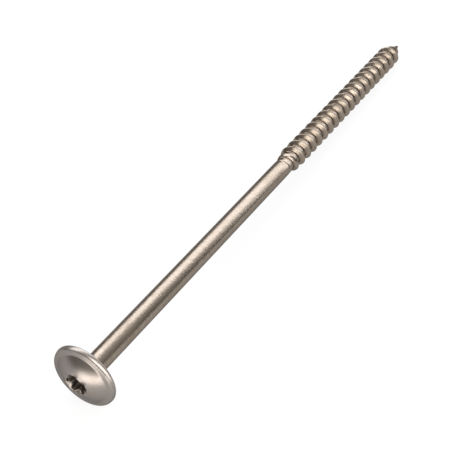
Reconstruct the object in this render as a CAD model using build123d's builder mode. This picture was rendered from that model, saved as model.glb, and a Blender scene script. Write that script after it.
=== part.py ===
from build123d import *
import os
from math import atan, ceil, cos, floor, radians, sin, tan

# Construction screw for timber: washer head, six-lobe drive, plain shank, coarse
# right-hand thread and a sharp point. It is one solid piece of stainless steel.
#
# The screw lies as it comes to rest on a flat surface, the plane Z = 0: on the rim of
# its head and on the crest of its last full turn of thread. Its axis runs from the
# head at -X to the point at +X and dips a little towards the point. Sizes are in mm,
# and places along the screw are measured from the bearing face under its head.

# Whole screw
screw_length = 200.0

# Head: a flange with a rounded rim, and a dome on it. The rim has a bevel under it up
# to where it is widest, and is a quarter of an ellipse in section from there to its top.
head_diameter = 19.6
head_height = 4.9
rim_bevel = 0.35
rim_height = 1.55
rim_depth = 0.65
dome_foot_diameter = 15.7
dome_foot_height = 2.0

# Six-lobe drive recess, turned from the upright by drive_turn
drive_lobes = 6
drive_across_lobes = 6.75
drive_across_flutes = 4.8
drive_lobe_radius = 0.55
drive_depth = 3.2
drive_bottom_angle = 120.0
drive_turn = 28.0

# Shank, the tapered neck that joins it to the head, and the collar left unrolled
# between it and the thread
shank_diameter = 6.0
neck_length = 1.0
neck_rise = 0.8
collar_diameter = 5.75
collar_step_length = 0.25

# Thread. A crest stands straight above the axis at crest_phase from the bearing face,
# and again after every whole pitch.
thread_length = 93.8
thread_diameter = 8.2
core_diameter = 5.3
pitch = 4.25
crest_width = 0.3
flank_half_angle = 22.0
run_in_length = 5.8
crest_phase = 3.24

# Point, how near to its axis the ridge of the thread is rooted, and how far outside
# the thread the ridge is trimmed
point_length = 9.0
ridge_root_radius = 0.3
trim_margin = 2.0

head_radius = head_diameter / 2
dome_foot = dome_foot_diameter / 2
shank_radius = shank_diameter / 2
collar_radius = collar_diameter / 2
thread_radius = thread_diameter / 2
core_radius = core_diameter / 2
thread_start = screw_length - thread_length
run_in_end = thread_start + run_in_length
point_start = screw_length - point_length

# The screw leans by the angle that brings the rim of its head and its last full turn
# of thread down to the same surface. The origin is on that surface, half-way between
# the top of the head and the point.
lean = atan((head_radius - thread_radius) / (point_start + rim_bevel))
along = Vector(cos(lean), 0, -sin(lean))
upright = Vector(sin(lean), 0, cos(lean))
bearing_centre = Vector(
    (head_height - screw_length * cos(lean)) / 2,
    0,
    head_radius * cos(lean) - rim_bevel * sin(lean),
)
screw_axis = Axis(bearing_centre, along)

# Lengthways section through the axis: local X along the screw, local Y outwards
section = Plane(origin=bearing_centre, x_dir=along, z_dir=(0, -1, 0))


# The ridge of the thread is a blunt wedge carried along a helix, one turn at a time.
# It is rooted deep in the core, so that it still grows out of the tapering point.
flank_slope = tan(radians(flank_half_angle))
ridge_root_width = crest_width + 2 * (thread_radius - ridge_root_radius) * flank_slope
ridge_start = crest_phase + pitch * (floor((thread_start - crest_phase) / pitch) - 1)
ridge_turns = ceil((screw_length - ridge_start) / pitch) + 1
ridge_end = ridge_start + ridge_turns * pitch
trim_start = ridge_start - ridge_root_width
trim_end = ridge_end + ridge_root_width
trim_radius = thread_radius + trim_margin
run_in_slope = (thread_radius - core_radius) / run_in_length
point_slope = thread_radius / point_length
ridge_stop = screw_length - ridge_root_radius * point_length / core_radius

with BuildPart() as ridge:
    with BuildLine() as helix:
        for turn in range(ridge_turns):
            Helix(
                pitch=pitch,
                height=pitch,
                radius=core_radius,
                center=bearing_centre + along * (ridge_start + turn * pitch),
                direction=along,
            )
    with BuildSketch(section):
        with BuildLine():
            Polyline(
                (ridge_start - ridge_root_width / 2, ridge_root_radius),
                (ridge_start - crest_width / 2, thread_radius),
                (ridge_start + crest_width / 2, thread_radius),
                (ridge_start + ridge_root_width / 2, ridge_root_radius),
                close=True,
            )
        make_face()
    sweep(path=helix.wires()[0], is_frenet=True)

    # The run-in: the crest rises from the core to its full height.
    with BuildSketch(section):
        with BuildLine():
            Polyline(
                (trim_start, 0),
                (thread_start, 0),
                (thread_start, core_radius),
                (thread_start + (trim_radius - core_radius) / run_in_slope, trim_radius),
                (trim_start, trim_radius),
                close=True,
            )
        make_face()
    revolve(axis=screw_axis, mode=Mode.SUBTRACT)

    # The point: the crest falls towards the axis, and the ridge stops where the core
    # has become as thin as its root.
    with BuildSketch(section):
        with BuildLine():
            Polyline(
                (ridge_stop, 0),
                (ridge_stop, (screw_length - ridge_stop) * point_slope),
                (screw_length - trim_radius / point_slope, trim_radius),
                (trim_end, trim_radius),
                (trim_end, 0),
                close=True,
            )
        make_face()
    revolve(axis=screw_axis, mode=Mode.SUBTRACT)


# Outline of the drive: lobes, and between them flutes that bulge inwards. The
# radius of the flutes follows from their reach and from the lobes that they touch.
lobe_centre = drive_across_lobes / 2 - drive_lobe_radius
flute_reach = drive_across_flutes / 2
half_step = 180 / drive_lobes
flute_radius = (
    (lobe_centre - flute_reach * cos(radians(half_step))) ** 2
    + (flute_reach * sin(radians(half_step))) ** 2
    - drive_lobe_radius**2
) / (2 * (drive_lobe_radius + lobe_centre * cos(radians(half_step)) - flute_reach))
flute_centre = flute_reach + flute_radius


def at(radius, angle):
    """The point at a radius and an angle in degrees."""
    return Vector(radius * cos(radians(angle)), radius * sin(radians(angle)))


def touch(angle, side):
    """Where the lobe at an angle touches the flute on one side of it."""
    lobe = at(lobe_centre, angle)
    flute = at(flute_centre, angle + side * half_step)
    return lobe + (flute - lobe).normalized() * drive_lobe_radius


dome_rise = head_height - dome_foot_height
dome_radius = (dome_foot**2 + dome_rise**2) / (2 * dome_rise)

with BuildPart() as screw:
    # Head, shank, core and point, turned as one
    with BuildSketch(section):
        with BuildLine():
            dome = RadiusArc((-head_height, 0), (-dome_foot_height, dome_foot), dome_radius)
            rim = EllipticalCenterArc(
                center=(-rim_bevel, head_radius - rim_depth),
                x_radius=rim_height - rim_bevel,
                y_radius=rim_depth,
                start_angle=90,
                arc_size=90,
            )
            Polyline(dome @ 1, rim @ 1)
            Polyline(
                rim @ 0,
                (0, head_radius - rim_bevel),
                (0, shank_radius + neck_rise),
                (neck_length, shank_radius),
                (thread_start, shank_radius),
                (thread_start + collar_step_length, collar_radius),
                (run_in_end, core_radius),
                (point_start, core_radius),
                (screw_length, 0),
                dome @ 0,
            )
        make_face()
    revolve(axis=screw_axis)

    # Drive recess, sunk along the axis from the top of the dome
    drive_plane = Plane(origin=bearing_centre - along * head_height, x_dir=upright, z_dir=along)
    with BuildSketch(drive_plane):
        with BuildLine():
            for lobe in range(drive_lobes):
                angle = drive_turn + lobe * 2 * half_step
                next_angle = angle + 2 * half_step
                ThreePointArc(
                    touch(angle, -1),
                    at(drive_across_lobes / 2, angle),
                    touch(angle, 1),
                )
                ThreePointArc(
                    touch(angle, 1),
                    at(flute_reach, angle + half_step),
                    touch(next_angle, -1),
                )
        make_face()
    extrude(amount=drive_depth, mode=Mode.SUBTRACT)

    # Conical bottom of the recess
    drive_bottom = drive_depth - head_height
    with BuildSketch(section):
        with BuildLine():
            Polyline(
                (drive_bottom, 0),
                (drive_bottom, flute_reach),
                (drive_bottom + flute_reach / tan(radians(drive_bottom_angle / 2)), 0),
                close=True,
            )
        make_face()
    revolve(axis=screw_axis, mode=Mode.SUBTRACT)

    add(ridge.part)

screw.part.label = "screw"
os.makedirs("parts", exist_ok=True)
export_step(screw.part, "parts/screw.step")
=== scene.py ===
from math import atan, atan2, cos, hypot, pi, radians, sin, sqrt, tan

import bpy
from mathutils import Matrix, Vector


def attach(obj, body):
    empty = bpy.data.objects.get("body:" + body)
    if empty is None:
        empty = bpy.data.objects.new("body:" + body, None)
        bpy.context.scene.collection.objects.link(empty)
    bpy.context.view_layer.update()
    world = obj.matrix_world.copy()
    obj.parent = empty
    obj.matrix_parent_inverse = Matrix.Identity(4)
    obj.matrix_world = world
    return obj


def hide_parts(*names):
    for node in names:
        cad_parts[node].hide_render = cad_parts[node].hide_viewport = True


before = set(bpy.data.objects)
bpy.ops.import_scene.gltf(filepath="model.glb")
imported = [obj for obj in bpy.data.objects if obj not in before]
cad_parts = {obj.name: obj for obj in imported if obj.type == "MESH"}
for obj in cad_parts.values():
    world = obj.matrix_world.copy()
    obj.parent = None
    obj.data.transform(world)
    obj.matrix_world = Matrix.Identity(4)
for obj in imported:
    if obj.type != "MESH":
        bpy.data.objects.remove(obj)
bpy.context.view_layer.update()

bl_info = {
    "name": "Construction screw",
    "version": (1, 0, 0),
    "blender": (4, 5, 0),
    "location": "View3D > Sidebar > Screw",
    "description": "Turns, rolls and finishes a long timber screw with a flanged six-lobe head",
    "category": "Add Mesh",
}

MM = 0.001
LOBES = 6
LOBE_STEP = 2 * pi / LOBES

# How finely the screw is divided

TURN_STEPS = 192
WIND_STEPS = 96
MOUTH_STEPS = 4
DOME_RINGS = 12
RIM_STEPS = 12
BEVEL_STEPS = 6
SHANK_RINGS = 24

# How near a ring stands to the corner that it holds, over what distance the dome is eased
# around the recess, how softly two forms meet, and how near two vertices are to be welded

HOLD = 0.05 * MM
EASE = 1.2 * MM
BLEND = 0.1 * MM
WELD = 0.001 * MM

# Where the blank ends and the wound strip begins, past the thread's start, and how long the
# plain tip is that closes the strip

BLANK_END = 0.5 * MM
STRIP_START = 0.8 * MM
TIP_LENGTH = 0.5 * MM

# Places of the lights, which way their backs face, and how their long sides run

SOFT_PLACE = Vector((152, 71, 218)) * MM
SOFT_RUN = Vector((-0.664, 0.711, 0.231))
FRONT_PLACE = Vector((-138, -42, 8)) * MM
FRONT_BACK = Vector((-0.817, 0, -0.577))
FRONT_RUN = Vector((0, 1, 0))
OVER_PLACE = Vector((-92, -75, 46)) * MM
OVER_BACK = Vector((-145, -75, 40))
OVER_RUN = Vector((0, 1, 0.42))

# Where the camera stands, from the centre of the bearing face, and how far it looks down
# and to the side

CAMERA_STAND = Vector((-129.474, -121.775, 207.653)) * MM
CAMERA_DOWN = radians(41.787)
CAMERA_SIDE = radians(31.335)
SENSOR_WIDTH = 36.0
NEAR_LIMIT = 10 * MM
FLOOR_SIDE = 6.0


# Sizes and finishes that a user would change


def length(name, description, millimetres):
    """A length in metres, given in millimetres."""
    return bpy.props.FloatProperty(
        name=name,
        description=description,
        default=millimetres * MM,
        min=0.0,
        precision=5,
        subtype="DISTANCE",
        unit="LENGTH",
    )


def angle(name, description, degrees):
    """An angle, given in degrees."""
    return bpy.props.FloatProperty(
        name=name, description=description, default=radians(degrees), subtype="ANGLE", unit="ROTATION"
    )


def colour(name, description, value):
    """A colour of a surface or a light."""
    return bpy.props.FloatVectorProperty(
        name=name, description=description, default=value, size=3, min=0.0, max=1.0, subtype="COLOR"
    )


def power(name, description, watts):
    """The power of a light."""
    return bpy.props.FloatProperty(name=name, description=description, default=watts, min=0.0, unit="POWER")


def amount(name, description, value, top=1.0):
    """A plain number from nothing to top."""
    return bpy.props.FloatProperty(
        name=name, description=description, default=value, min=0.0, max=top, precision=4
    )


class ScrewSizes(bpy.types.PropertyGroup):
    """Sizes of the screw. Places along it are measured from the bearing face."""

    screw_length: length("Length", "From the bearing face to the point", 200.0)
    head_radius: length("Head radius", "Radius of the flange over its rim", 9.8)
    head_height: length("Head height", "Top of the dome above the bearing face", 4.9)
    rim_bevel: length("Rim bevel", "Rounding of the rim at the bearing face", 0.35)
    rim_height: length("Rim height", "Height of the rounded rim", 1.62)
    rim_depth: length("Rim depth", "How deep the rim's rounding reaches inwards", 0.6)
    dome_foot_radius: length("Dome foot radius", "Where the dome stands on the flange", 7.98)
    dome_foot_height: length("Dome foot height", "Height of the dome's foot", 1.9)
    dish_radius: length("Dish radius", "Where the dome starts to dip towards the recess", 3.3)
    dish_slope: amount("Dish slope", "How steeply the dome dips towards the recess", 1.2, 3.0)
    lobe_reach: length("Lobe reach", "Radius of the drive recess over its lobes", 3.25)
    lobe_radius: length("Lobe radius", "Rounding of each lobe", 0.75)
    flute_reach: length("Flute reach", "Radius of the drive recess at its flutes", 2.4)
    drive_depth: length("Drive depth", "Depth of the drive's walls from the top of the dome", 3.2)
    drive_cone_depth: length("Drive cone", "Depth of the cone below the walls", 1.38)
    drive_edge: length("Drive edge", "Rounding of the recess's mouth", 0.25)
    drive_turn: angle("Drive turn", "Angle of the first lobe from the upright", 28.0)
    shank_radius: length("Shank radius", "Radius of the plain shank", 3.0)
    neck_length: length("Neck length", "Length of the taper under the head", 1.0)
    neck_rise: length("Neck rise", "Extra radius of the neck at the head", 0.8)
    thread_start: length("Thread start", "Where the plain shank ends", 106.2)
    collar_step: length("Collar step", "Length of the step from the shank to the collar", 0.25)
    groove_radius: length("Groove radius", "Radius of the fine groove between shank and collar", 2.74)
    collar_radius: length("Collar radius", "Radius of the collar before the thread", 2.875)
    core_radius: length("Core radius", "Radius of the core between the ridges", 2.65)
    thread_radius: length("Thread radius", "Radius over the crests", 4.1)
    pitch: length("Pitch", "Distance between two crests", 4.25)
    crest_phase: length("Crest phase", "A crest stands above the axis here", 3.24)
    crest_rounding: length("Crest rounding", "Radius of the rounded crest", 0.28)
    flank_angle: angle("Flank angle", "Half angle between the flanks of a ridge", 30.0)
    root_fillet: length("Root fillet", "Softness of the corner between core and flank", 0.5)
    run_in_length: length("Run-in", "Length over which the crest rises", 5.8)
    point_length: length("Point length", "Length of the tapered point", 9.0)
    # Place and width of the painted shade in each root of the thread, behind the crest
    root_shade_place: length("Residue place", "From the crest back to the brown film in the root", 1.15)
    root_shade_width: length("Residue width", "Half width of the brown film in the root", 0.6)


class ScrewFinish(bpy.types.PropertyGroup):
    """Colours and surface of the bare steel."""

    steel: colour("Steel", "Reflected colour of the bare steel", (0.277, 0.236, 0.197))
    steel_dark: colour("Dark steel", "Reflected colour in the duller patches", (0.21, 0.17, 0.13))
    head_steel: colour("Head steel", "Reflected colour of the cleaner head", (0.276, 0.252, 0.238))
    # A darker brown that paints shade into the thread's root behind each crest
    painted_root_shade: colour("Painted root shade", "Reflected colour under the brown film", (0.16, 0.122, 0.09))
    edge_tint: colour("Edge tint", "Tint of the steel seen at a glancing angle", (0.42, 0.42, 0.43))
    roughness: amount("Roughness", "Roughness of the bare steel", 0.28)
    head_roughness: amount("Head roughness", "Extra roughness of the head", 0.06)
    grain: amount("Grain", "Depth of the rolling and drawing marks", 0.25)


class StudioSettings(bpy.types.PropertyGroup):
    """Floor, lights, room and camera."""

    floor: colour("Floor", "Colour of the floor", (0.75, 0.75, 0.75))
    floor_glow: amount("Floor glow", "How much of the floor shows as plain white", 0.9)
    soft_light: colour("Soft light", "Colour of the soft strip light", (0.92, 0.945, 1.0))
    soft_length: length("Soft light length", "Long side of the soft strip light", 1600.0)
    soft_width: length("Soft light width", "Short side of the soft strip light", 242.0)
    soft_power: power("Soft power", "Power of the soft strip light", 4.5)
    front_light: colour("Front light", "Colour of the low light before the head", (1.0, 0.95, 0.89))
    front_length: length("Front light length", "Long side of the low light before the head", 107.0)
    front_width: length("Front light width", "Short side of the low light before the head", 19.0)
    front_power: power("Front power", "Power of the low light before the head", 0.0255)
    over_light: colour("Over light", "Colour of the light over the head", (1.0, 0.985, 0.95))
    over_length: length("Over light length", "Long side of the light over the head", 150.0)
    over_width: length("Over light width", "Short side of the light over the head", 60.0)
    over_power: power("Over power", "Power of the light over the head", 0.15)
    horizon: colour("Horizon", "Colour of the room at the horizon", (0.1, 0.085, 0.07))
    ceiling: colour("Ceiling", "Colour of the room overhead", (0.62, 0.6, 0.58))
    focal_length: bpy.props.FloatProperty(
        name="Focal length",
        description="Focal length in millimetres",
        default=81.355,
        subtype="DISTANCE_CAMERA",
    )


# How the screw lies: on the rim of its head and the last full turn of its thread


def lean_angle(s):
    """How far the axis dips towards the point."""
    return atan((s.head_radius - s.thread_radius) / (s.screw_length - s.point_length + s.rim_bevel))


def bearing_centre(s):
    """Where the centre of the bearing face lies."""
    lean = lean_angle(s)
    middle = (s.head_height - s.screw_length * cos(lean)) / 2
    return Vector((middle, 0, s.head_radius * cos(lean) - s.rim_bevel * sin(lean)))


def resting_place(s):
    """Puts a screw modelled upright, point up, in the place where it lies at rest."""
    lean = lean_angle(s)
    along = Vector((cos(lean), 0, -sin(lean)))
    upright = Vector((sin(lean), 0, cos(lean)))
    sideways = Vector((0, -1, 0))
    turn = Matrix((upright, sideways, along)).transposed().to_4x4()
    return Matrix.Translation(bearing_centre(s)) @ turn


# Modelling by hand


def deselect_all():
    """Leaves nothing selected, so that the next tool acts on its own piece alone."""
    if bpy.context.object and bpy.context.object.mode != "OBJECT":
        bpy.ops.object.mode_set(mode="OBJECT")
    bpy.ops.object.select_all(action="DESELECT")


def draw_profile(name, points):
    """Extrudes one vertex along the points, given as (radius, height)."""
    deselect_all()
    bpy.ops.mesh.primitive_plane_add(size=MM)
    profile = bpy.context.object
    profile.name = name
    profile.data.name = name
    bpy.ops.object.mode_set(mode="EDIT")
    bpy.ops.mesh.merge(type="CENTER")
    places = [Vector((radius, 0, height)) for radius, height in points]
    bpy.ops.transform.translate(value=places[0])
    for here, there in zip(places, places[1:]):
        bpy.ops.mesh.extrude_region_move(TRANSFORM_OT_translate={"value": there - here})
    bpy.ops.object.mode_set(mode="OBJECT")
    return profile


def cut_off(height, towards):
    """Cuts a mesh in edit mode across at a height, and clears what lies towards +1 or -1 of it."""
    bpy.ops.mesh.select_all(action="SELECT")
    bpy.ops.mesh.bisect(
        plane_co=(0, 0, height), plane_no=(0, 0, towards), clear_outer=True, threshold=WELD
    )


def weld_doubles():
    """Joins vertices of a mesh in edit mode that lie on one another."""
    bpy.ops.mesh.select_all(action="SELECT")
    bpy.ops.mesh.remove_doubles(threshold=WELD)


def choose_open_edges(mesh, lowest=0.0):
    """Selects the open edges above a height, and nothing else."""
    bpy.ops.object.mode_set(mode="EDIT")
    bpy.ops.mesh.select_mode(type="EDGE")
    bpy.ops.mesh.select_all(action="DESELECT")
    bpy.ops.mesh.select_non_manifold(
        extend=False, use_wire=False, use_multi_face=False, use_non_contiguous=False, use_verts=False
    )
    bpy.ops.object.mode_set(mode="OBJECT")
    for edge in mesh.edges:
        if mesh.vertices[edge.vertices[0]].co.z < lowest:
            edge.select = False
    for vertex in mesh.vertices:
        if vertex.co.z < lowest:
            vertex.select = False
    bpy.ops.object.mode_set(mode="EDIT")


def smooth_step(low, high, value):
    """0 below low, 1 above high, and a soft rise between."""
    t = min(max((value - low) / (high - low), 0.0), 1.0)
    return t * t * (3 - 2 * t)


def soft_max(a, b, softness):
    """The larger of two, rounded where they are alike."""
    near = max(softness - abs(a - b), 0.0) / softness
    return max(a, b) + near * near * softness / 4


def soft_min(a, b, softness):
    """The smaller of two, rounded where they are alike."""
    return -soft_max(-a, -b, softness)


# Head and shank


def dome_height(s, radius):
    """Place of the dome's surface at a radius, along the screw. The dome is part of a sphere."""
    rise = s.head_height - s.dome_foot_height
    sphere = (s.dome_foot_radius**2 + rise**2) / (2 * rise)
    return sphere - s.head_height - sqrt(sphere**2 - radius**2)


def dish_depth(s, radius):
    """How deep the dome dips at a radius, drawn in around the recess."""
    return soft_max(0.0, (s.dish_radius - radius) * s.dish_slope, BLEND)


def drive_outline(s, turn, gap=0.0):
    """Radius at an angle of the six-lobe outline, or of one a gap outside it."""
    lobe_centre = s.lobe_reach - s.lobe_radius
    half = LOBE_STEP / 2
    flute_radius = (
        (lobe_centre - s.flute_reach * cos(half)) ** 2
        + (s.flute_reach * sin(half)) ** 2
        - s.lobe_radius**2
    ) / (2 * (s.lobe_radius + lobe_centre * cos(half) - s.flute_reach))
    flute_centre = s.flute_reach + flute_radius
    lobe_radius = s.lobe_radius + gap
    share = lobe_radius / (s.lobe_radius + flute_radius)
    flute_radius -= gap
    touch_x = lobe_centre + (flute_centre * cos(half) - lobe_centre) * share
    touch_y = flute_centre * sin(half) * share
    off = (turn - s.drive_turn + half) % LOBE_STEP - half
    if abs(off) < atan2(touch_y, touch_x):
        return lobe_centre * cos(off) + sqrt(lobe_radius**2 - (lobe_centre * sin(off)) ** 2)
    off = half - abs(off)
    return flute_centre * cos(off) - sqrt(flute_radius**2 - (flute_centre * sin(off)) ** 2)


def recess_profile(s):
    """(radius, height) of the recess while it is still round: its cone, wall and rounded mouth."""
    floor = s.drive_depth - s.head_height
    cone = s.drive_cone_depth
    inner = 0.94 * s.flute_reach
    reach = s.lobe_reach
    edge = s.drive_edge
    wall_top = dome_height(s, reach + edge) + edge
    wall_middle = floor - 1.2 * MM
    points = [(0, floor + cone), (inner / 2, floor + cone / 2), (inner, floor)]
    points += [(reach - HOLD, floor), (reach, floor - HOLD)]
    points += [(reach, wall_middle), (reach, wall_top + 2 * HOLD)]
    for step in range(MOUTH_STEPS + 1):
        turn = pi / 2 * step / MOUTH_STEPS
        points.append((reach + edge * (1 - cos(turn)), wall_top - edge * sin(turn)))
    return points


def dome_profile(s):
    """(radius, height) of the dome, from the mouth of the recess to the foot of the dome."""
    mouth = s.lobe_reach + s.drive_edge
    eased = mouth + EASE
    foot = s.dome_foot_radius - HOLD
    radii = [mouth + gap * MM for gap in (0.08, 0.3, 0.6, 0.9)]
    radii += [eased + (foot - eased) * step / DOME_RINGS for step in range(DOME_RINGS + 1)]
    return [(radius, dome_height(s, radius)) for radius in radii]


def rim_profile(s):
    """(radius, height) of the flange: the ring around the dome, the rounded rim and its bevel."""
    foot = s.dome_foot_radius
    ring_end = s.head_radius - s.rim_depth
    slope = (s.dome_foot_height - s.rim_height) / (ring_end - foot)
    bevel = s.rim_bevel
    points = []
    for gap in (0.06, 0.2, 0.6, 1.0, 1.25):
        points.append((foot + gap * MM, gap * MM * slope - s.dome_foot_height))
    for step in range(RIM_STEPS + 1):
        turn = pi / 2 * (1 - step / RIM_STEPS)
        points.append((ring_end + s.rim_depth * cos(turn), -bevel - (s.rim_height - bevel) * sin(turn)))
    for step in range(1, BEVEL_STEPS + 1):
        turn = pi / 2 * step / BEVEL_STEPS
        points.append((s.head_radius - bevel + bevel * cos(turn), -bevel + bevel * sin(turn)))
    return points


def shank_profile(s):
    """(radius, height) of the bearing face, neck and shank, and the groove before the collar."""
    shank = s.shank_radius
    neck = shank + s.neck_rise
    groove = s.groove_radius
    collar = s.collar_radius
    end = s.thread_start
    points = [(s.head_radius - s.rim_depth - 2 * HOLD, 0), (neck + HOLD, 0), (neck, 0.02 * MM)]
    points += [(shank + 0.02 * MM, s.neck_length), (shank, s.neck_length + 2 * HOLD)]
    for step in range(1, SHANK_RINGS):
        points.append((shank, s.neck_length + (end - s.neck_length) * step / SHANK_RINGS))
    points += [(shank, end - 0.25 * MM), (shank - 0.02 * MM, end - 0.12 * MM)]
    points += [(shank - 0.1 * MM, end - 0.02 * MM), (groove, end + 0.1 * MM), (groove, end + 0.25 * MM)]
    points += [(collar - 0.03 * MM, end + 0.4 * MM), (collar, end + BLANK_END)]
    return points


def head_profile(s):
    """(radius, height) of the blank, from the bottom of the recess to the collar."""
    return recess_profile(s) + dome_profile(s) + rim_profile(s) + shank_profile(s)


def shape_recess(blank, s):
    """Draws the round recess out to its six lobes, and eases the dome around it."""
    reach = s.lobe_reach
    mouth = reach + s.drive_edge
    eased = mouth + EASE
    for vertex in blank.data.vertices:
        radius = hypot(vertex.co.x, vertex.co.y)
        # The shank, the bottom of the recess and the outer dome stay as they are.
        if vertex.co.z > -0.5 * MM or radius < 0.99 * s.flute_reach or radius > eased:
            continue
        turn = atan2(vertex.co.y, vertex.co.x)
        gap = min(max(radius - reach, 0.0), s.drive_edge)
        pull = 1 - smooth_step(mouth, eased, radius)
        moved = radius + (drive_outline(s, turn, gap) - reach - gap) * pull
        above = vertex.co.z - dome_height(s, radius)
        near_top = 1 - smooth_step(0.6 * MM, 1.4 * MM, above)
        edge_drop = dome_height(s, drive_outline(s, turn, s.drive_edge)) - dome_height(s, mouth)
        drop = edge_drop if radius < mouth else dome_height(s, moved) - dome_height(s, radius)
        vertex.co.z += (drop + dish_depth(s, moved)) * near_top
        vertex.co.x *= moved / radius
        vertex.co.y *= moved / radius


# Thread


def core_at(s, height):
    """Radius of the core under the thread at a place along the screw."""
    collar_end = s.thread_start + s.collar_step
    run_in_end = s.thread_start + s.run_in_length
    point_start = s.screw_length - s.point_length
    if height < s.thread_start:
        return s.shank_radius
    if height < collar_end:
        return s.shank_radius + (s.collar_radius - s.shank_radius) * (height - s.thread_start) / s.collar_step
    if height < run_in_end:
        share = (height - collar_end) / (run_in_end - collar_end)
        return s.collar_radius + (s.core_radius - s.collar_radius) * share
    if height < point_start:
        return s.core_radius
    return s.core_radius * max(s.screw_length - height, 0.0) / s.point_length


def point_cone(s, height):
    """Radius at a place along the screw of the cone that the crests follow to the point."""
    return (s.screw_length - height) * s.thread_radius / s.point_length


def crest_limit(s, height):
    """How far out the crest may reach: it rises in the run-in and falls to the point."""
    rise = s.core_radius + (height - s.thread_start) * (s.thread_radius - s.core_radius) / s.run_in_length
    return soft_min(rise, point_cone(s, height), BLEND)


def ridge_at(s, off):
    """Radius of a ridge's rounded section at a distance off the middle of its crest."""
    rounding = s.crest_rounding
    centre = s.thread_radius - rounding
    off = abs(off)
    if off < rounding * cos(s.flank_angle):
        return centre + sqrt(rounding**2 - off**2)
    return centre + (rounding / cos(s.flank_angle) - off) / tan(s.flank_angle)


def thread_at(s, height, off):
    """Radius of the thread at a place along it. At the point the ridge sinks and grows slimmer."""
    limit = crest_limit(s, height)
    core = core_at(s, height)
    sunk = 0.75 * max(s.thread_radius - point_cone(s, height), 0.0)
    ridge = soft_min(ridge_at(s, off) - sunk, limit, 0.08 * MM)
    fillet = min(max((limit - core) * 0.8, 0.02 * MM), s.root_fillet)
    return max(soft_max(core, ridge, fillet), 0.0)


def pitch_profile(s, start):
    """(radius, height) of one pitch, with more points where it bends more."""
    offs = [0.0, 0.08, 0.16, 0.23, 0.3, 0.4, 0.52, 0.64, 0.74, 0.82, 0.9, 0.98, 1.06, 1.16, 1.32, 1.58, 1.85]
    half = s.pitch / 2
    sides = [off * MM for off in offs]
    places = [-half] + [-off for off in reversed(sides)] + sides[1:] + [half]
    return [(max(ridge_at(s, off), s.core_radius), start + off) for off in places]


def off_crest(s, place):
    """How far a place lies past the nearest crest, along the screw."""
    crest = s.crest_phase + s.pitch * atan2(place.y, place.x) / (2 * pi)
    return (place.z - crest + s.pitch / 2) % s.pitch - s.pitch / 2


def mark_painted_root_shade(thread, s):
    """Marks each vertex with how much painted shade it gets in the thread's root behind its crest, from 0 to
    1.
    """
    painted_root_shade = thread.data.attributes.new("painted_root_shade", "FLOAT", "POINT")
    for vertex in thread.data.vertices:
        beside = abs(off_crest(s, vertex.co) + s.root_shade_place)
        painted_root_shade.data[vertex.index].value = 1 - smooth_step(0.0, s.root_shade_width, beside)


def fit_thread(thread, s):
    """Brings every vertex of the wound strip to the thread's true radius."""
    for vertex in thread.data.vertices:
        turn = atan2(vertex.co.y, vertex.co.x)
        radius = thread_at(s, vertex.co.z, off_crest(s, vertex.co))
        vertex.co.x = radius * cos(turn)
        vertex.co.y = radius * sin(turn)


# Nodes


class Field:
    """A value that changes over a surface. Arithmetic on fields adds Math nodes."""

    def __init__(self, sheet, socket):
        self.sheet = sheet
        self.socket = socket

    def math(self, operation, *values):
        """One Math node on these values."""
        node = self.sheet.add("ShaderNodeMath", {"operation": operation}, dict(enumerate(values)))
        return Field(self.sheet, node.outputs[0])

    def __add__(self, other):
        return self.math("ADD", self, other)

    __radd__ = __add__

    def __sub__(self, other):
        return self.math("SUBTRACT", self, other)

    def __rsub__(self, other):
        return self.math("SUBTRACT", other, self)

    def __mul__(self, other):
        return self.math("MULTIPLY", self, other)

    __rmul__ = __mul__

    def rise(self, low, high):
        """0 below low and 1 above high, soft between."""
        node = self.sheet.add(
            "ShaderNodeMapRange",
            {"interpolation_type": "SMOOTHSTEP"},
            {"Value": self, "From Min": low, "From Max": high},
        )
        return Field(self.sheet, node.outputs["Result"])


class Sheet:
    """The nodes of one material or world."""

    def __init__(self, owner):
        owner.use_nodes = True
        self.tree = owner.node_tree
        self.tree.nodes.clear()

    def add(self, kind, settings=None, values=None):
        """A node with its settings made first, then its sockets filled or linked."""
        node = self.tree.nodes.new(kind)
        for key, value in (settings or {}).items():
            setattr(node, key, value)
        for key, value in (values or {}).items():
            socket = node.inputs[key]
            if isinstance(value, Field):
                self.tree.links.new(value.socket, socket)
            elif isinstance(value, bpy.types.NodeSocket):
                self.tree.links.new(value, socket)
            else:
                socket.default_value = value
        return node

    def field(self, node, output=0):
        """A node's output as a field."""
        return Field(self, node.outputs[output])

    def stretched(self, place, stretch):
        """A place with each axis stretched."""
        node = self.add("ShaderNodeVectorMath", {"operation": "MULTIPLY"}, {0: place, 1: stretch})
        return node.outputs["Vector"]

    def noise(self, place, detail=3.0):
        """Noise at a place, from 0 to 1."""
        node = self.add(
            "ShaderNodeTexNoise",
            {"noise_dimensions": "3D"},
            {"Vector": place, "Scale": 1.0, "Detail": detail, "Roughness": 0.6},
        )
        return self.field(node, "Fac")

    def blend(self, share, one, other):
        """A colour between two, each of them a plain colour or the output of a node."""
        ends = {6: one, 7: other}
        for key, tint in ends.items():
            if not isinstance(tint, bpy.types.NodeSocket):
                ends[key] = (*tint, 1.0)
        node = self.add("ShaderNodeMix", {"data_type": "RGBA"}, {"Factor": share, **ends})
        return node.outputs[2]


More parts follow.
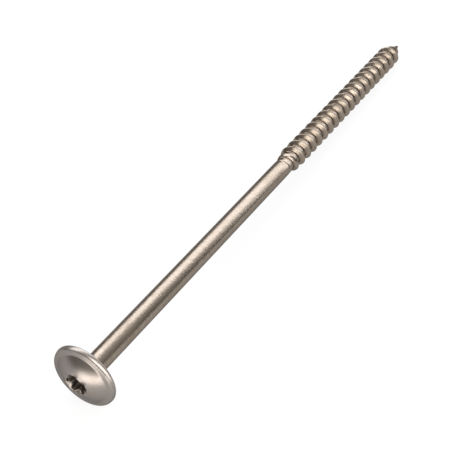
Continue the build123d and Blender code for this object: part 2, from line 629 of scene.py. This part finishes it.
def bare_steel(s, finish):
    """Drawn and rolled stainless steel, cleaner at the head, with painted shade in the thread's root behind
    each crest.
    """
    material = bpy.data.materials.new("bare_steel")
    sheet = Sheet(material)
    lean = lean_angle(s)
    turned = Matrix.Rotation(-lean, 3, "Y") @ bearing_centre(s)
    place = sheet.add(
        "ShaderNodeMapping",
        {"vector_type": "POINT"},
        {
            "Vector": sheet.add("ShaderNodeTexCoord").outputs["Object"],
            "Location": -turned,
            "Rotation": (0.0, -lean, 0.0),
        },
    ).outputs["Vector"]
    along = sheet.field(sheet.add("ShaderNodeSeparateXYZ", None, {0: place}), "X")
    shank = along.rise(0.5 * MM, 3 * MM)
    thread = along.rise(s.thread_start - EASE, s.thread_start + STRIP_START)

    # Fine marks run around the screw, specks are nearly even, and patches are wide.
    rings = sheet.noise(sheet.stretched(place, (2000.0, 1000.0, 1000.0)), 2.0)
    speckle = sheet.noise(sheet.stretched(place, (1500.0, 1200.0, 1200.0)))
    dull = sheet.noise(sheet.stretched(place, (90.0, 90.0, 90.0))).rise(0.45, 0.75)
    worn = dull * 0.4 + speckle.rise(0.35, 0.7) * 0.6
    # Painted shade in the thread's root behind each crest, read from the vertices
    painted_root_shade = sheet.field(sheet.add("ShaderNodeAttribute", {"attribute_name": "painted_root_shade"}), "Fac")

    head = sheet.blend(worn, finish.head_steel, finish.steel)
    # The rolled steel turns to the painted root shade's colour behind each crest
    rolled = sheet.blend(painted_root_shade, sheet.blend(worn, finish.steel, finish.steel_dark), finish.painted_root_shade)
    roughness = finish.roughness + finish.head_roughness * (1 - shank) + 0.1 * (speckle - 0.5) + 0.06 * dull
    height = (rings * 0.6 + speckle * 0.3) * (0.2 + 0.8 * shank - 0.6 * thread)
    bump = sheet.add(
        "ShaderNodeBump", None, {"Strength": finish.grain, "Distance": 0.3 * MM, "Height": height}
    )
    shader = sheet.add(
        "ShaderNodeBsdfPrincipled",
        None,
        {
            "Base Color": sheet.blend(shank, head, rolled),
            "Metallic": 1.0,
            "Specular Tint": (*finish.edge_tint, 1.0),
            "Roughness": roughness,
            "Normal": bump.outputs["Normal"],
        },
    )
    sheet.add("ShaderNodeOutputMaterial", None, {"Surface": shader.outputs[0]})
    return material


# Stage


def lay_floor(studio):
    """Lays a wide pale floor that shows as plain white and keeps the screw's shadow."""
    deselect_all()
    bpy.ops.mesh.primitive_plane_add(size=FLOOR_SIDE)
    floor = bpy.context.object
    floor.name = "studio_floor"
    paint = bpy.data.materials.new("floor_paint")
    sheet = Sheet(paint)
    pale = sheet.add("ShaderNodeBsdfDiffuse", None, {"Color": (*studio.floor, 1.0)})
    white = sheet.add("ShaderNodeEmission", None, {"Color": (1.0, 1.0, 1.0, 1.0), "Strength": 1.0})
    rays = sheet.add("ShaderNodeLightPath")
    seen = sheet.field(rays, "Is Camera Ray") + sheet.field(rays, "Is Glossy Ray")
    seen = seen + sheet.field(rays, "Is Transmission Ray")
    surface = sheet.add(
        "ShaderNodeMixShader", None, {0: seen * studio.floor_glow, 1: pale.outputs[0], 2: white.outputs[0]}
    )
    sheet.add("ShaderNodeOutputMaterial", None, {"Surface": surface.outputs[0]})
    floor.data.materials.append(paint)


def hang_strip(name, sides, watts, tint, place, back, run):
    """Hangs a rectangular soft light at a place, with its back and its long side turned as given."""
    lamp = bpy.data.lights.new(name, "AREA")
    lamp.shape = "RECTANGLE"
    lamp.size, lamp.size_y = sides
    lamp.energy = watts
    lamp.color = tint
    light = bpy.data.objects.new(name, lamp)
    bpy.context.collection.objects.link(light)
    away = back.normalized()
    across = away.cross(run).normalized()
    turn = Matrix((across.cross(away), across, away)).transposed().to_4x4()
    light.matrix_world = Matrix.Translation(place) @ turn


def hang_lights(studio):
    """Hangs the soft strip above, the low light before the head and the light over the head."""
    soft = (studio.soft_length, studio.soft_width)
    front = (studio.front_length, studio.front_width)
    over = (studio.over_length, studio.over_width)
    hang_strip("soft_light", soft, studio.soft_power, studio.soft_light, SOFT_PLACE, SOFT_PLACE, SOFT_RUN)
    hang_strip(
        "front_light", front, studio.front_power, studio.front_light, FRONT_PLACE, FRONT_BACK, FRONT_RUN
    )
    hang_strip("over_light", over, studio.over_power, studio.over_light, OVER_PLACE, OVER_BACK, OVER_RUN)


def light_room(scene, studio):
    """Fills the room with plain light that is dim at the horizon and pale overhead."""
    room = bpy.data.worlds.new("studio_room")
    scene.world = room
    sheet = Sheet(room)
    direction = sheet.add("ShaderNodeTexCoord").outputs["Generated"]
    upwards = sheet.field(sheet.add("ShaderNodeSeparateXYZ", None, {0: direction}), "Z")
    tint = sheet.blend(upwards.rise(0.0, 0.9), studio.horizon, studio.ceiling)
    glow = sheet.add("ShaderNodeBackground", None, {"Color": tint, "Strength": 1.0})
    sheet.add("ShaderNodeOutputWorld", None, {"Surface": glow.outputs[0]})


def place_camera(scene, studio):
    """Stands the camera beyond the head, where it looks down along the screw."""
    down, side = CAMERA_DOWN, CAMERA_SIDE
    ahead = Vector((cos(down) * cos(side), cos(down) * sin(side), -sin(down)))
    right = Vector((sin(side), -cos(side), 0))
    up = Vector((sin(down) * cos(side), sin(down) * sin(side), cos(down)))
    turn = Matrix((right, up, -ahead)).transposed().to_4x4()
    lens = bpy.data.cameras.new("camera")
    lens.lens = studio.focal_length
    lens.sensor_width = SENSOR_WIDTH
    lens.clip_start = NEAR_LIMIT
    camera = bpy.data.objects.new("camera", lens)
    bpy.context.collection.objects.link(camera)
    camera.matrix_world = Matrix.Translation(bearing_centre(scene.screw_sizes) + CAMERA_STAND) @ turn
    scene.camera = camera


# Operators


class ScrewTurnBlank(bpy.types.Operator):
    """Turns the head and the plain shank, and forms the drive recess"""

    bl_idname = "screw.turn_blank"
    bl_label = "Turn the blank"

    def execute(self, context):
        s = context.scene.screw_sizes
        blank = draw_profile("screw_blank", head_profile(s))
        bpy.ops.object.mode_set(mode="EDIT")
        bpy.ops.mesh.select_all(action="SELECT")
        bpy.ops.mesh.spin(steps=TURN_STEPS, angle=2 * pi, center=(0, 0, 0), axis=(0, 0, 1))
        weld_doubles()
        bpy.ops.object.mode_set(mode="OBJECT")
        shape_recess(blank, s)
        return {"FINISHED"}


class ScrewRollThread(bpy.types.Operator):
    """Winds the thread, trims it at the collar and draws it to the point"""

    bl_idname = "screw.roll_thread"
    bl_label = "Roll the thread"

    def execute(self, context):
        s = context.scene.screw_sizes
        skipped = int((s.thread_start - 2 * s.pitch - s.crest_phase) / s.pitch)
        start = s.crest_phase + skipped * s.pitch
        thread = draw_profile("screw_thread", pitch_profile(s, start))
        wind = thread.modifiers.new("wind", "SCREW")
        wind.axis = "Z"
        wind.angle = 2 * pi
        wind.screw_offset = s.pitch
        wind.steps = WIND_STEPS
        wind.render_steps = WIND_STEPS
        wind.iterations = int((s.screw_length - start) / s.pitch) + 2
        wind.use_merge_vertices = True
        wind.merge_threshold = 2 * WELD
        bpy.ops.object.modifier_apply(modifier="wind")
        # Marks where shade is painted into the thread's root
        mark_painted_root_shade(thread, s)
        fit_thread(thread, s)

        tip = s.screw_length - TIP_LENGTH
        bpy.ops.object.mode_set(mode="EDIT")
        cut_off(s.thread_start + STRIP_START, -1)
        cut_off(tip, 1)
        weld_doubles()
        choose_open_edges(thread.data, tip - 2 * HOLD)
        bpy.ops.mesh.extrude_region_move(TRANSFORM_OT_translate={"value": (0, 0, TIP_LENGTH)})
        bpy.ops.mesh.merge(type="CENTER")
        bpy.ops.object.mode_set(mode="OBJECT")
        return {"FINISHED"}


class ScrewLayDown(bpy.types.Operator):
    """Joins blank and thread in one closed mesh, lays it down and gives it its steel"""

    bl_idname = "screw.lay_down"
    bl_label = "Join and lay down"

    def execute(self, context):
        s = context.scene.screw_sizes
        deselect_all()
        screw = bpy.data.objects["screw_blank"]
        bpy.data.objects["screw_thread"].select_set(True)
        screw.select_set(True)
        context.view_layer.objects.active = screw
        bpy.ops.object.join()
        choose_open_edges(screw.data)
        bpy.ops.mesh.bridge_edge_loops()
        bpy.ops.mesh.select_all(action="SELECT")
        bpy.ops.mesh.normals_make_consistent(inside=False)
        bpy.ops.object.mode_set(mode="OBJECT")

        screw.matrix_world = resting_place(s)
        bpy.ops.object.transform_apply(location=True, rotation=True, scale=True)
        bpy.ops.object.shade_smooth_by_angle(angle=radians(28))
        screw.name = "screw_visual"
        screw.data.name = "screw_visual"
        screw.data.materials.clear()
        screw.data.materials.append(bare_steel(s, context.scene.screw_finish))
        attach(screw, "root")
        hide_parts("screw")
        return {"FINISHED"}


class ScrewSetStage(bpy.types.Operator):
    """Lays the pale floor, hangs the soft lights and places the camera"""

    bl_idname = "screw.set_stage"
    bl_label = "Set the stage"

    def execute(self, context):
        scene = context.scene
        studio = scene.screw_studio
        lay_floor(studio)
        hang_lights(studio)
        light_room(scene, studio)
        place_camera(scene, studio)
        scene.view_settings.view_transform = "Standard"
        return {"FINISHED"}


class ScrewPanel(bpy.types.Panel):
    """Sizes, finish and steps of the screw"""

    bl_idname = "VIEW3D_PT_construction_screw"
    bl_label = "Construction screw"
    bl_space_type = "VIEW_3D"
    bl_region_type = "UI"
    bl_category = "Screw"

    def draw(self, context):
        layout = self.layout
        for step in STEPS:
            layout.operator(step.bl_idname)
        for name in GROUPS:
            settings = getattr(context.scene, name)
            box = layout.box()
            for key in settings.__annotations__:
                box.prop(settings, key)


GROUPS = {"screw_sizes": ScrewSizes, "screw_finish": ScrewFinish, "screw_studio": StudioSettings}
STEPS = (ScrewTurnBlank, ScrewRollThread, ScrewLayDown, ScrewSetStage)
CLASSES = (*GROUPS.values(), *STEPS, ScrewPanel)


def register():
    """Adds the settings, the steps and the panel to Blender."""
    for kind in CLASSES:
        bpy.utils.register_class(kind)
    for name, group in GROUPS.items():
        setattr(bpy.types.Scene, name, bpy.props.PointerProperty(type=group))


def unregister():
    """Takes them out again."""
    for name in GROUPS:
        delattr(bpy.types.Scene, name)
    for kind in reversed(CLASSES):
        bpy.utils.unregister_class(kind)


def main():
    register()
    bpy.ops.screw.turn_blank()
    bpy.ops.screw.roll_thread()
    bpy.ops.screw.lay_down()
    bpy.ops.screw.set_stage()


if __name__ == "__main__":
    main()
